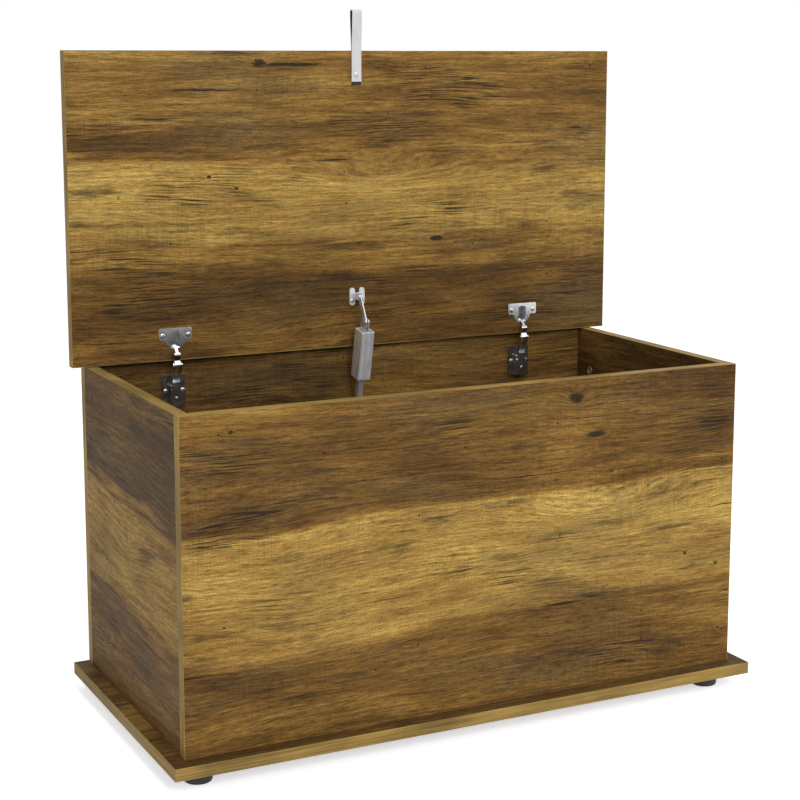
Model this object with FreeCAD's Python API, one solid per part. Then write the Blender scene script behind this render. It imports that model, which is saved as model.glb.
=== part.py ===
import FreeCAD, Part
import math
import os

# A blanket chest of foil-faced board with a lid on two concealed hinges and one stay.
# Millimetres.  X runs along the chest, Y to the back, Z up.  The origin is on the
# floor, under the middle of the base.  The lid is drawn open, upright.

# ---- driving sizes -------------------------------------------------------------
body_length = 800.0
body_depth = 391.0
body_height = 420.0
board = 16.0                  # every board's thickness
side_margin = 20.0            # the base's edge beyond the box at each end
front_margin = 22.0           # and in front of it
back_margin = 7.0             # and behind it
side_overhang = 20.0          # the shut lid's edge beyond the box at each end
front_overhang = 22.0         # and in front of it
back_overhang = 7.0           # and behind it
lid_gap = 1.0                 # open lid above the box
lid_set_in = 13.0             # underside of the open lid in front of the back panel
banding = 0.8                 # edge banding
foot_height = 21.0
foot_radius = 18.4
foot_inset_x = 44.0
foot_inset_y = 43.5

# ---- places that follow ----------------------------------------------------------
base_length = body_length + 2 * side_margin
base_depth = body_depth + front_margin + back_margin
lid_length = body_length + 2 * side_overhang
lid_height = body_depth + front_overhang + back_overhang
base_z = foot_height
floor_z = base_z + board
rim_z = floor_z + body_height
front_y = -base_depth / 2 + front_margin
back_y = base_depth / 2 - back_margin
front_inner_y = front_y + board
back_inner_y = back_y - board
side_x = body_length / 2
side_inner_x = side_x - board
lid_y = back_inner_y - lid_set_in
lid_back_y = lid_y + board
lid_z = rim_z + lid_gap
lid_top_z = lid_z + lid_height

UP = FreeCAD.Vector(0, 0, 1)
ALONG_X = FreeCAD.Vector(1, 0, 0)
ALONG_Y = FreeCAD.Vector(0, 1, 0)


def box(x0, x1, y0, y1, z0, z1):
    corner = FreeCAD.Vector(x0, y0, z0)
    return Part.makeBox(x1 - x0, y1 - y0, z1 - z0, corner)


def rod(x, y, z, radius, length, direction):
    return Part.makeCylinder(radius, length, FreeCAD.Vector(x, y, z), direction)


def cone(x, y, z, radius, end_radius, length, direction):
    return Part.makeCone(radius, end_radius, length, FreeCAD.Vector(x, y, z), direction)


def side_profile(points, x0, x1):
    """A flat shape given by (y, z) corners, thick from x0 to x1."""
    corners = [FreeCAD.Vector(x0, y, z) for y, z in points]
    wire = Part.makePolygon(corners + corners[:1])
    return Part.Face(wire).extrude(FreeCAD.Vector(x1 - x0, 0, 0))


def bar_between(y0, z0, y1, z1, radius, end_radius, x0, x1):
    """A flat bar in the YZ plane with round ends, thick from x0 to x1."""
    length = math.hypot(y1 - y0, z1 - z0)
    along_y, along_z = (y1 - y0) / length, (z1 - z0) / length
    lean = (radius - end_radius) / length
    rise = math.sqrt(1 - lean * lean)
    corners = []
    for side, y, z, r in ((1, y0, z0, radius), (1, y1, z1, end_radius),
                          (-1, y1, z1, end_radius), (-1, y0, z0, radius)):
        normal_y = lean * along_y - side * rise * along_z
        normal_z = lean * along_z + side * rise * along_y
        corners.append((y + r * normal_y, z + r * normal_z))
    web = side_profile(corners, x0, x1)
    first = rod(x0, y0, z0, radius, x1 - x0, ALONG_X)
    last = rod(x0, y1, z1, end_radius, x1 - x0, ALONG_X)
    return web.fuse([first, last]).removeSplitter()


def cut(shape, tools):
    return shape.cut(Part.makeCompound(tools)) if tools else shape


def save(name, solids):
    shape = solids[0] if len(solids) == 1 else Part.makeCompound(solids)
    shape.exportStep("parts/" + name + ".step")


os.makedirs("parts", exist_ok=True)

# ---- feet: turned discs under the base, each with one screw from below -------------
foot_edge = 2.0
foot_bore_radius = 6.0
foot_bore_depth = 12.0
foot_screw_radius = 2.0
foot_screw_bite = 10.0
foot_head_radius = 4.2
foot_head_height = 2.6
foot_x = base_length / 2 - foot_inset_x
foot_y = base_depth / 2 - foot_inset_y
foot_places = {
    "foot_front_left": (-foot_x, -foot_y),
    "foot_front_right": (foot_x, -foot_y),
    "foot_back_left": (-foot_x, foot_y),
    "foot_back_right": (foot_x, foot_y),
}
base_holes = []
foot_screws = []
for foot_name, (x, y) in foot_places.items():
    disc = rod(x, y, 0, foot_radius, foot_height, UP)
    disc = disc.makeFillet(foot_edge, [edge for edge in disc.Edges if edge.BoundBox.ZMax < foot_edge])
    seat_z = foot_bore_depth
    well = rod(x, y, -1, foot_bore_radius, seat_z + 1, UP)
    shank = rod(x, y, seat_z, foot_screw_radius, foot_height - seat_z + foot_screw_bite, UP)
    head = rod(x, y, seat_z - foot_head_height, foot_head_radius, foot_head_height, UP)
    save(foot_name, [cut(disc, [well, shank])])
    foot_screws.append(head.fuse(shank))
    base_holes.append(shank)
save("foot_screws", foot_screws)

# ---- fastenings of the box ----------------------------------------------------------
# Screws rise through the base into the four panels.  The corners are closed by
# dowels and by cams in the side panels that pull on bolts in the front and back.
base_screw_radius = 2.4
base_screw_length = 48.0
base_head_radius = 4.8
base_head_height = 3.2
base_screw_step = 230.0
front_middle_y = front_y + board / 2
back_middle_y = back_y - board / 2
side_middle_x = side_x - board / 2
side_screw_y = 100.0
screw_places = [(step * base_screw_step, y) for y in (front_middle_y, back_middle_y) for step in (-1, 0, 1)]
screw_places += [(side * side_middle_x, end * side_screw_y) for side in (-1, 1) for end in (-1, 1)]
base_screws = []
for x, y in screw_places:
    shank = rod(x, y, base_z, base_screw_radius, base_screw_length, UP)
    head = cone(x, y, base_z, base_head_radius, base_screw_radius, base_head_height, UP)
    base_screws.append(shank.fuse(head).removeSplitter())
save("base_screws", base_screws)

dowel_radius = 4.0
dowel_length = 30.0
base_dowel_sink = 10.0
base_dowel_x = 340.0
base_dowel_y = 60.0
base_dowels = []
dowel_places = [(side * base_dowel_x, y) for side in (-1, 1) for y in (front_middle_y, back_middle_y)]
dowel_places += [(side * side_middle_x, end * base_dowel_y) for side in (-1, 1) for end in (-1, 1)]
for x, y in dowel_places:
    base_dowels.append(rod(x, y, floor_z - base_dowel_sink, dowel_radius, dowel_length, UP))
save("base_dowels", base_dowels)

corner_dowel_sink = 9.0
corner_dowel_rises = (0.3 * body_height, 0.7 * body_height)
cam_rises = (0.15 * body_height, 0.85 * body_height)
cam_radius = 7.5
cam_depth = 12.5
cam_setback = 34.0
cam_slot_width = 1.2
cam_slot_depth = 2.0
bolt_radius = 3.0
bolt_bite = 11.0
corner_dowels = []
cams = []
cam_bolts = []
for side in (-1, 1):
    for inner_y, way in ((front_inner_y, 1), (back_inner_y, -1)):
        for rise in corner_dowel_rises:
            low_y = min(inner_y - way * corner_dowel_sink, inner_y + way * (dowel_length - corner_dowel_sink))
            corner_dowels.append(rod(side * side_middle_x, low_y, floor_z + rise, dowel_radius,
                                     dowel_length, ALONG_Y))
        for rise in cam_rises:
            cam_y = inner_y + way * cam_setback
            cam_x = side * side_inner_x if side > 0 else -side_inner_x - cam_depth
            cam = rod(cam_x, cam_y, floor_z + rise, cam_radius, cam_depth, ALONG_X)
            face_x = side * side_inner_x
            slot = box(face_x - cam_slot_depth, face_x + cam_slot_depth, cam_y - cam_radius,
                       cam_y + cam_radius, floor_z + rise - cam_slot_width / 2,
                       floor_z + rise + cam_slot_width / 2)
            cams.append(cam.cut(slot))
            bolt_length = cam_setback + bolt_bite
            low_y = min(inner_y - way * bolt_bite, cam_y)
            bolt = rod(side * side_middle_x, low_y, floor_z + rise, bolt_radius, bolt_length, ALONG_Y)
            cam_bolts.append(bolt.cut(rod(cam_x - 1, cam_y, floor_z + rise, cam_radius,
                                          cam_depth + 2, ALONG_X)))
save("corner_dowels", corner_dowels)
save("cams", cams)
save("cam_bolts", cam_bolts)
cam_wells = [rod(min(side * side_inner_x, side * (side_inner_x + cam_depth)), inner_y + way * cam_setback,
                 floor_z + rise, cam_radius, cam_depth, ALONG_X)
             for side in (-1, 1) for inner_y, way in ((front_inner_y, 1), (back_inner_y, -1))
             for rise in cam_rises]

# ---- base: a board with banding on its four edges -------------------------------------
base_x = base_length / 2
base_y = base_depth / 2
base_board = box(-base_x + banding, base_x - banding, -base_y + banding, base_y - banding, base_z, floor_z)
base_board = cut(base_board, base_holes + base_screws + base_dowels)
save("base_board", [base_board])
save("base_edging", [
    box(-base_x, base_x, -base_y, -base_y + banding, base_z, floor_z),
    box(-base_x, base_x, base_y - banding, base_y, base_z, floor_z),
    box(-base_x, -base_x + banding, -base_y + banding, base_y - banding, base_z, floor_z),
    box(base_x - banding, base_x, -base_y + banding, base_y - banding, base_z, floor_z),
])

# ---- front and back panels, banded on their ends and top edge -------------------------
panel_fastenings = base_screws + base_dowels + corner_dowels + cam_bolts


def long_panel(name, y0, y1, holes):
    core = box(-side_x + banding, side_x - banding, y0, y1, floor_z, rim_z - banding)
    save(name, [cut(core, holes)])
    save(name + "_edging", [
        box(-side_x, -side_x + banding, y0, y1, floor_z, rim_z),
        box(side_x - banding, side_x, y0, y1, floor_z, rim_z),
        box(-side_x + banding, side_x - banding, y0, y1, rim_z - banding, rim_z),
    ])


long_panel("front_panel", front_y, front_inner_y, panel_fastenings)

# ---- side panels between them, banded on the top edge ---------------------------------
for side, side_name in ((-1, "left"), (1, "right")):
    x0, x1 = sorted((side * side_inner_x, side * side_x))
    core = box(x0, x1, front_inner_y, back_inner_y, floor_z, rim_z - banding)
    save(side_name + "_side_panel", [cut(core, panel_fastenings + cam_wells)])
    save(side_name + "_side_edging", [box(x0, x1, front_inner_y, back_inner_y, rim_z - banding, rim_z)])

# ---- concealed hinges -------------------------------------------------------------------
# A cup let into the lid, an arm on a mounting plate on the back panel, and a link
# between them that turns on a pin in the arm's nose and reaches into the cup.
hinge_inset = 125.0           # each hinge's middle in from the box's end
hinge_x = side_x - hinge_inset
cup_radius = 13.0
cup_wall = 0.8
cup_depth = 11.3
cup_floor = 1.0
pocket_width = 12.6           # the cup is open only over this width
cup_above_edge = 28.5
flange_length = 48.0
flange_height = 17.0
flange_thickness = 1.2
flange_above_edge = 28.0
rim_width = 1.0
rim_thickness = 0.3           # thin, as it lies over the back panel when shut
cup_screw_spacing = 37.0
cup_screw_above_edge = 35.0
screw_radius = 1.7
screw_head_radius = 3.4
screw_head_height = 1.3
cup_screw_length = 13.0
corner_round = 2.5

plate_length = 46.0
plate_width = 34.0
plate_thickness = 4.0
plate_below_rim = 20.0
plate_screw_spacing = 24.0
plate_screw_length = 14.0
arm_width = 13.0
arm_height = 10.5
arm_wall = 1.4
nose_radius = 3.6
pin_radius = 1.5
running_gap = 0.05
nose_above_edge = -5.7        # link pin below the open lid's lower edge
nose_out = 6.0                # link pin in front of the lid's underside
link_width = 4.0
link_bulb_width = 8.6
eye_radius = 2.9
waist_radius = 2.4
knuckle_radius = 3.8
tongue_radius = 0.9
tip_radius = 0.5
lever_pin_y = lid_y + 3.86    # cross pin in the arm, see the lid's travel
lever_pin_z = lid_z - 36.83

lid_holes = []
back_holes = []
hinge_sides = ((-1, "left"), (1, "right"))
cup_z = lid_z + cup_above_edge
cup_screw_z = lid_z + cup_screw_above_edge
cup_screws = []
plate_screws = []
link_pins = []
lever_pins = []
arm_screws = []
nose_y = lid_y - nose_out
nose_z = lid_z + nose_above_edge


def countersunk(x, y, z, radius, head_radius, head_height, length, direction, lift):
    """A screw whose head stands 'lift' proud of the face at (x, y, z)."""
    start = FreeCAD.Vector(x, y, z) - direction * lift
    head = Part.makeCylinder(head_radius, head_height, start, direction)
    rounding = [edge for edge in head.Edges if edge.Length > 1 and
                abs((edge.BoundBox.Center - start).dot(direction)) < 0.01]
    head = head.makeFillet(head_height * 0.45, rounding[:1])
    shank = Part.makeCylinder(radius, length + lift - head_height, start + direction * head_height, direction)
    return head.fuse(shank).removeSplitter()


for side, side_name in hinge_sides:
    x = side * hinge_x
    # cup with its flange, screwed to the lid
    flange_z = lid_z + flange_above_edge
    flange = box(x - flange_length / 2, x + flange_length / 2, lid_y - flange_thickness, lid_y,
                 flange_z, flange_z + flange_height)
    flange = flange.makeFillet(corner_round, [edge for edge in flange.Edges
                                              if edge.BoundBox.YLength > flange_thickness * 0.9])
    cup = rod(x, lid_y, cup_z, cup_radius, cup_depth, ALONG_Y)
    cup_rim = rod(x, lid_y - rim_thickness, cup_z, cup_radius + rim_width, rim_thickness, ALONG_Y)
    hollow = rod(x, lid_y - flange_thickness, cup_z, cup_radius - cup_wall,
                 flange_thickness + cup_depth - cup_floor, ALONG_Y)
    hollow = hollow.common(box(x - pocket_width / 2, x + pocket_width / 2, lid_y - flange_thickness,
                               lid_y + cup_depth, cup_z - cup_radius, cup_z + cup_radius))
    own_screws = []
    for end in (-1, 1):
        own_screws.append(countersunk(x + end * cup_screw_spacing / 2, lid_y - flange_thickness, cup_screw_z,
                                      screw_radius, screw_head_radius, screw_head_height,
                                      cup_screw_length, ALONG_Y, screw_head_height))
    cup_piece = cut(flange.fuse([cup, cup_rim]).removeSplitter(), [hollow] + own_screws)
    save("hinge_cup_" + side_name, [cup_piece])
    cup_screws += own_screws
    lid_holes.append(rod(x, lid_y, cup_z, cup_radius, cup_depth, ALONG_Y))

    # mounting plate on the back panel
    plate_top = rim_z - plate_below_rim
    plate_face_y = back_inner_y - plate_thickness
    plate = box(x - plate_width / 2, x + plate_width / 2, plate_face_y, back_inner_y,
                plate_top - plate_length, plate_top)
    plate = plate.makeFillet(corner_round, [edge for edge in plate.Edges
                                            if edge.BoundBox.YLength > plate_thickness * 0.9])
    own_screws = []
    for end in (-1, 1):
        own_screws.append(countersunk(x + end * plate_screw_spacing / 2, plate_face_y,
                                      plate_top - plate_length / 2, screw_radius, screw_head_radius,
                                      screw_head_height, plate_screw_length, ALONG_Y, screw_head_height))
    arm_screw_z = plate_top - plate_length * 0.7
    arm_face_y = plate_face_y - arm_height
    arm_screw = rod(x, arm_face_y - 1.0, arm_screw_z, 2.4, arm_height + 3.0, ALONG_Y)
    arm_screws.append(arm_screw)
    save("hinge_plate_" + side_name, [cut(plate, own_screws + [arm_screw])])
    plate_screws += own_screws
    back_holes += own_screws

    # arm: a channel that stands on the plate and bends forward to its nose
    arm_low_z = plate_top - plate_length + 2.0
    profile = [
        (plate_face_y, arm_low_z), (arm_face_y, arm_low_z), (arm_face_y, plate_top - 4.0),
        (nose_y - nose_radius, nose_z - 1.0), (nose_y + nose_radius, nose_z - 1.0),
        (plate_face_y, plate_top + 2.0),
    ]
    solid_arm = side_profile(profile, x - arm_width / 2, x + arm_width / 2)
    nose = rod(x - arm_width / 2, nose_y, nose_z, nose_radius, arm_width, ALONG_X)
    inside_z = plate_top - 10.0
    channel = box(x - arm_width / 2 + arm_wall, x + arm_width / 2 - arm_wall, nose_y - 20, back_inner_y + 20,
                  inside_z, nose_z + 20)
    link_pin = rod(x - arm_width / 2, nose_y, nose_z, pin_radius, arm_width, ALONG_X)
    lever_hole = rod(x - arm_width / 2 - 1, lever_pin_y, lever_pin_z, pin_radius + running_gap,
                     arm_width + 2, ALONG_X)
    arm = cut(solid_arm.fuse(nose).removeSplitter(), [channel, link_pin, lever_hole, arm_screw])
    save("hinge_arm_" + side_name, [arm])
    link_pins.append(link_pin)

    # cross pin of the arm, with a flat head on each end
    pin_length = arm_width + 2 * running_gap
    pin = rod(x - pin_length / 2, lever_pin_y, lever_pin_z, pin_radius, pin_length, ALONG_X)
    heads = [rod(x - pin_length / 2 - 1.0, lever_pin_y, lever_pin_z, pin_radius + 1.0, 1.0, ALONG_X),
             rod(x + pin_length / 2, lever_pin_y, lever_pin_z, pin_radius + 1.0, 1.0, ALONG_X)]
    lever_pins.append(pin.fuse(heads).removeSplitter())

    # link: an eye on the link pin, a waist, a round knuckle and a thin tongue into the cup
    waist_y, waist_z = nose_y + 1.6, nose_z + 5.8
    knuckle_y, knuckle_z = nose_y + 0.7, nose_z + 13.7
    neck_y, neck_z = nose_y + 3.9, nose_z + 22.1
    bend_y, bend_z = nose_y + 4.6, nose_z + 23.6
    tip_y, tip_z = nose_y + 6.6, nose_z + 25.4
    wide = (x - link_bulb_width / 2, x + link_bulb_width / 2)
    narrow = (x - link_width / 2, x + link_width / 2)
    eye = bar_between(nose_y, nose_z, waist_y, waist_z, eye_radius, waist_radius, *wide)
    bulb = bar_between(waist_y, waist_z, knuckle_y, knuckle_z, waist_radius, knuckle_radius, *wide)
    neck = bar_between(knuckle_y, knuckle_z, neck_y, neck_z, knuckle_radius, tongue_radius, *narrow)
    bend = bar_between(neck_y, neck_z, bend_y, bend_z, tongue_radius, tip_radius, *narrow)
    tongue = bar_between(bend_y, bend_z, tip_y, tip_z, tip_radius, tip_radius, *narrow)
    eye_hole = rod(x - arm_width, nose_y, nose_z, pin_radius + running_gap, arm_width * 2, ALONG_X)
    link = eye.fuse([bulb, neck, bend, tongue]).removeSplitter().cut(eye_hole)
    save("hinge_link_" + side_name, [link])
save("hinge_lever_pins", lever_pins)
save("hinge_link_pins", link_pins)
save("hinge_cup_screws", cup_screws)
save("hinge_plate_screws", plate_screws)
save("hinge_arm_screws", arm_screws)

# ---- lid stay -----------------------------------------------------------------------------
# Drawn upright about the middle of the housing's top, then leaned forward.
stay_lean = 12.0
stay_out = 27.0               # middle of the housing's top in front of the lid
stay_rise = 26.5              # and above the lid's lower edge
housing_width = 20.0
housing_depth = 24.0
housing_length = 72.0
housing_wall = 2.0
groove_width = 2.4
groove_depth = 0.8
groove_offset = 3.6
elbow_rise = 12.0             # arm pin above the housing's top
cheek_rise = 17.0
cheek_half = 9.0
cheek_set_back = 2.5
cheek_thickness = 1.6
plug_low = -9.5
plug_high = -0.4              # the head closes the housing's top
top_slot = 3.5                # but for a slot behind the front wall
cheek_slot_radius = 0.9       # a short slanting slot in each cheek
cheek_slot_low = (-2.6, 5.2)
cheek_slot_high = (-1.2, 8.4)
foot_pin_drop = 128.0         # foot pin below the housing's top
rail_width = 8.0
rail_depth = 9.0
rail_top = -66.0
slider_low = -72.0
slider_high = -60.0
slider_gap = 0.3
arm_thickness = 2.0
stay_arm_radius = 4.5
stay_end_radius = 4.3
lid_pin_out = 11.0            # stay's upper pivot in front of the lid's underside
lid_pin_rise = 72.0           # and above the lid's lower edge
ear_gap = 0.4

stay_top_y = lid_y - stay_out
stay_top_z = lid_z + stay_rise
stay_origin = FreeCAD.Vector(0, stay_top_y, stay_top_z)
lean = math.radians(stay_lean)
foot_pin_y = stay_top_y + foot_pin_drop * math.sin(lean)
foot_pin_z = stay_top_z - foot_pin_drop * math.cos(lean)
elbow_y = stay_top_y - elbow_rise * math.sin(lean)
elbow_z = stay_top_z + elbow_rise * math.cos(lean)
lid_pin_y = lid_y - lid_pin_out
lid_pin_z = lid_z + lid_pin_rise


def leaned(shape):
    turned = shape.copy()
    turned.rotate(FreeCAD.Vector(0, 0, 0), ALONG_X, stay_lean)
    turned.translate(stay_origin)
    return turned


half_width = housing_width / 2
half_depth = housing_depth / 2
housing = box(-half_width, half_width, -half_depth, half_depth, -housing_length, 0)
housing = housing.makeFillet(0.8, [edge for edge in housing.Edges
                                   if edge.BoundBox.ZLength > housing_length * 0.9])
hollow = box(-half_width + housing_wall, half_width - housing_wall, -half_depth + housing_wall,
             half_depth - housing_wall, -housing_length, 0)
grooves = [box(side * groove_offset - groove_width / 2, side * groove_offset + groove_width / 2,
               -half_depth, -half_depth + groove_depth, -housing_length, 0) for side in (-1, 1)]
save("stay_housing", [leaned(cut(housing, [hollow] + grooves))])

cheek_x = arm_thickness / 2 + ear_gap
plug = box(-half_width + housing_wall, half_width - housing_wall, -half_depth + housing_wall + top_slot,
           half_depth - housing_wall, plug_low, plug_high)
cheeks = []
for side in (-1, 1):
    x0, x1 = sorted((side * cheek_x, side * (cheek_x + cheek_thickness)))
    cheek = box(x0, x1, -cheek_half + cheek_set_back, cheek_half, plug_high, cheek_rise)
    tops = [edge for edge in cheek.Edges
            if edge.BoundBox.XLength > cheek_thickness * 0.9 and edge.BoundBox.ZMin > cheek_rise - 0.1]
    cheeks.append(cheek.makeFillet(4.0, tops))
elbow_pin_length = 2 * (cheek_x + cheek_thickness)
elbow_hole = rod(-elbow_pin_length, 0, elbow_rise, pin_radius, elbow_pin_length * 2, ALONG_X)
cheek_slot = bar_between(*cheek_slot_low, *cheek_slot_high, cheek_slot_radius, cheek_slot_radius,
                         -elbow_pin_length, elbow_pin_length)
save("stay_head", [leaned(plug.fuse(cheeks).removeSplitter().cut(Part.makeCompound([elbow_hole, cheek_slot])))])
elbow_pin = rod(-elbow_pin_length / 2, 0, elbow_rise, pin_radius, elbow_pin_length, ALONG_X)
elbow_heads = [rod(-elbow_pin_length / 2 - 0.8, 0, elbow_rise, pin_radius + 1.1, 0.8, ALONG_X),
               rod(elbow_pin_length / 2, 0, elbow_rise, pin_radius + 1.1, 0.8, ALONG_X)]
save("stay_elbow_pin", [leaned(elbow_pin.fuse(elbow_heads).removeSplitter())])

rail_bar = box(-rail_width / 2, rail_width / 2, -rail_depth / 2, rail_depth / 2, -foot_pin_drop, rail_top)
rail_eye = rod(-rail_width / 2, 0, -foot_pin_drop, rail_depth / 2, rail_width, ALONG_X)
foot_pin_radius = 2.0
rail_bore = rod(-rail_width, 0, -foot_pin_drop, foot_pin_radius + running_gap, rail_width * 2, ALONG_X)
rail = rail_bar.fuse(rail_eye).removeSplitter().cut(rail_bore)
save("stay_rail", [leaned(rail)])
slider = box(-half_width + housing_wall + slider_gap, half_width - housing_wall - slider_gap,
             -half_depth + housing_wall + slider_gap, half_depth - housing_wall - slider_gap,
             slider_low, slider_high)
save("stay_slider", [leaned(slider.cut(rail))])

arm = bar_between(elbow_y, elbow_z, lid_pin_y, lid_pin_z, stay_arm_radius, stay_end_radius,
                  -arm_thickness / 2, arm_thickness / 2)
arm_bore = rod(-arm_thickness, elbow_y, elbow_z, pin_radius + running_gap, arm_thickness * 2, ALONG_X)
save("stay_arm", [arm.cut(arm_bore)])

# bracket on the lid: two round-ended feet, a bridge and two ears beside the arm
lobe_width = 8.6
lobe_length = 25.5
lobe_x = 7.6
lobe_thickness = 1.6
ear_thickness = 1.5
ear_radius = 4.8
bridge_half = 5.5
bracket_pieces = []
bracket_screws = []
for side in (-1, 1):
    lobe = box(side * lobe_x - lobe_width / 2, side * lobe_x + lobe_width / 2, lid_y - lobe_thickness, lid_y,
               lid_pin_z - lobe_length / 2, lid_pin_z + lobe_length / 2)
    lobe = lobe.makeFillet(lobe_width / 2 - 0.1, [edge for edge in lobe.Edges
                                                  if edge.BoundBox.YLength > lobe_thickness * 0.9])
    x0, x1 = sorted((side * cheek_x, side * (cheek_x + ear_thickness)))
    ear = bar_between(lid_pin_y, lid_pin_z, lid_y - ear_radius, lid_pin_z, ear_radius, ear_radius, x0, x1)
    bracket_pieces += [lobe, ear]
    bracket_screws.append(countersunk(side * lobe_x, lid_y - lobe_thickness, lid_pin_z - 6.0, screw_radius,
                                      2.9, screw_head_height, cup_screw_length, ALONG_Y,
                                      screw_head_height))
bridge = box(-lobe_x, lobe_x, lid_y - lobe_thickness, lid_y, lid_pin_z - bridge_half, lid_pin_z + bridge_half)
bracket_pieces.append(bridge)
bracket = bracket_pieces[0].fuse(bracket_pieces[1:]).removeSplitter()
save("stay_lid_bracket", [cut(bracket, bracket_screws)])
save("stay_lid_screws", bracket_screws)
ear_out = cheek_x + ear_thickness
save("stay_lid_rivets", [
    rod(-ear_out - 0.9, lid_pin_y, lid_pin_z, 2.4, 0.9, ALONG_X),
    rod(ear_out, lid_pin_y, lid_pin_z, 2.4, 0.9, ALONG_X),
])

# bracket on the back panel, with two ears beside the rail's eye
wall_plate_thickness = 2.0
wall_plate_half_width = 15.0
wall_plate_up = 6.0             # short of the shut housing
wall_plate_down = 19.0
wall_screw_drop = 8.0
wall_ear_thickness = 1.8
wall_face_y = back_inner_y - wall_plate_thickness
wall_plate = box(-wall_plate_half_width, wall_plate_half_width, wall_face_y, back_inner_y,
                 foot_pin_z - wall_plate_down, foot_pin_z + wall_plate_up)
wall_ears = []
wall_ear_x = rail_width / 2 + ear_gap
for side in (-1, 1):
    x0, x1 = sorted((side * wall_ear_x, side * (wall_ear_x + wall_ear_thickness)))
    wall_ears.append(bar_between(foot_pin_y, foot_pin_z, wall_face_y, foot_pin_z, 4.6, 4.6, x0, x1)
                     .cut(box(x0 - 1, x1 + 1, back_inner_y, back_inner_y + 20,
                              foot_pin_z - 20, foot_pin_z + 20)))
foot_pin_length = 2 * (wall_ear_x + wall_ear_thickness)
foot_pin = rod(-foot_pin_length / 2, foot_pin_y, foot_pin_z, foot_pin_radius, foot_pin_length, ALONG_X)
foot_heads = [rod(-foot_pin_length / 2 - 1.0, foot_pin_y, foot_pin_z, foot_pin_radius + 1.2, 1.0, ALONG_X),
              rod(foot_pin_length / 2, foot_pin_y, foot_pin_z, foot_pin_radius + 1.2, 1.0, ALONG_X)]
save("stay_foot_pin", [foot_pin.fuse(foot_heads).removeSplitter()])
wall_screws = []
for side in (-1, 1):
    wall_screws.append(countersunk(side * 11.0, wall_face_y, foot_pin_z - wall_screw_drop, screw_radius, 2.9,
                                   screw_head_height, cup_screw_length, ALONG_Y, screw_head_height))
wall_bracket = wall_plate.fuse(wall_ears).removeSplitter()
save("stay_wall_bracket", [cut(wall_bracket, wall_screws + [foot_pin])])
save("stay_wall_screws", wall_screws)
back_holes += wall_screws

# ---- back panel, with the holes for what is screwed to it -------------------------------
long_panel("back_panel", back_inner_y, back_y, panel_fastenings + back_holes)

# ---- pull strap: one flat strip doubled into a loop, both ends under one screw ------------
strap_width = 15.0
strap_thickness = 1.2
strap_gap = 0.3
strap_on_lid = 43.0           # front leg's end below the lid's front edge
strap_longer_leg = 5.0
strap_rise = 57.0             # loop beyond the lid's front edge
loop_gap = 6.0                # between the legs, inside, near the top
strap_screw_from_end = 10.0
strap_low_z = lid_top_z - strap_on_lid
back_face = lid_y
mid_face = back_face - strap_thickness
front_inner = mid_face - strap_gap
front_face = front_inner - strap_thickness
loop_radius = loop_gap / 2 + strap_thickness
loop_z = lid_top_z + strap_rise - loop_radius
loop_y = (mid_face + front_inner) / 2


def strap_leg(face_y, way, low_z):
    """One leg: flat on the lid, then bowed away from the other leg up to the loop."""
    out = loop_gap / 2
    near, far = face_y, face_y + way * strap_thickness
    top_near, top_far = loop_y + way * out, loop_y + way * (out + strap_thickness)
    return side_profile([
        (near, low_z), (near, lid_top_z), (top_near, loop_z), (top_far, loop_z),
        (far, lid_top_z), (far, low_z),
    ], -strap_width / 2, strap_width / 2)


loop_ring = rod(-strap_width / 2, loop_y, loop_z, loop_radius, strap_width, ALONG_X)
loop_ring = loop_ring.cut(rod(-strap_width / 2, loop_y, loop_z, loop_gap / 2, strap_width, ALONG_X))
loop_ring = loop_ring.cut(box(-strap_width, strap_width, loop_y - 20, loop_y + 20, loop_z - 20, loop_z))
strap = strap_leg(mid_face, 1, strap_low_z - strap_longer_leg)
strap = strap.fuse([strap_leg(front_inner, -1, strap_low_z), loop_ring]).removeSplitter()
strap_screw = countersunk(0, front_face, strap_low_z + strap_screw_from_end, screw_radius,
                          screw_head_radius, screw_head_height + 0.2, cup_screw_length + 2, ALONG_Y,
                          screw_head_height + 0.2)
save("pull_strap", [strap.cut(strap_screw)])
save("strap_screw", [strap_screw])

# ---- lid: a board with banding on its four edges ------------------------------------------
lid_x = lid_length / 2
lid_board = box(-lid_x + banding, lid_x - banding, lid_y, lid_back_y, lid_z + banding, lid_top_z - banding)
lid_holes += cup_screws + bracket_screws + [strap_screw]
save("lid_board", [cut(lid_board, lid_holes)])
save("lid_edging", [
    box(-lid_x, lid_x, lid_y, lid_back_y, lid_z, lid_z + banding),
    box(-lid_x, lid_x, lid_y, lid_back_y, lid_top_z - banding, lid_top_z),
    box(-lid_x, -lid_x + banding, lid_y, lid_back_y, lid_z + banding, lid_top_z - banding),
    box(lid_x - banding, lid_x, lid_y, lid_back_y, lid_z + banding, lid_top_z - banding),
])
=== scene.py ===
import bpy
import bmesh
import math
from mathutils import Matrix, Vector


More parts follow.
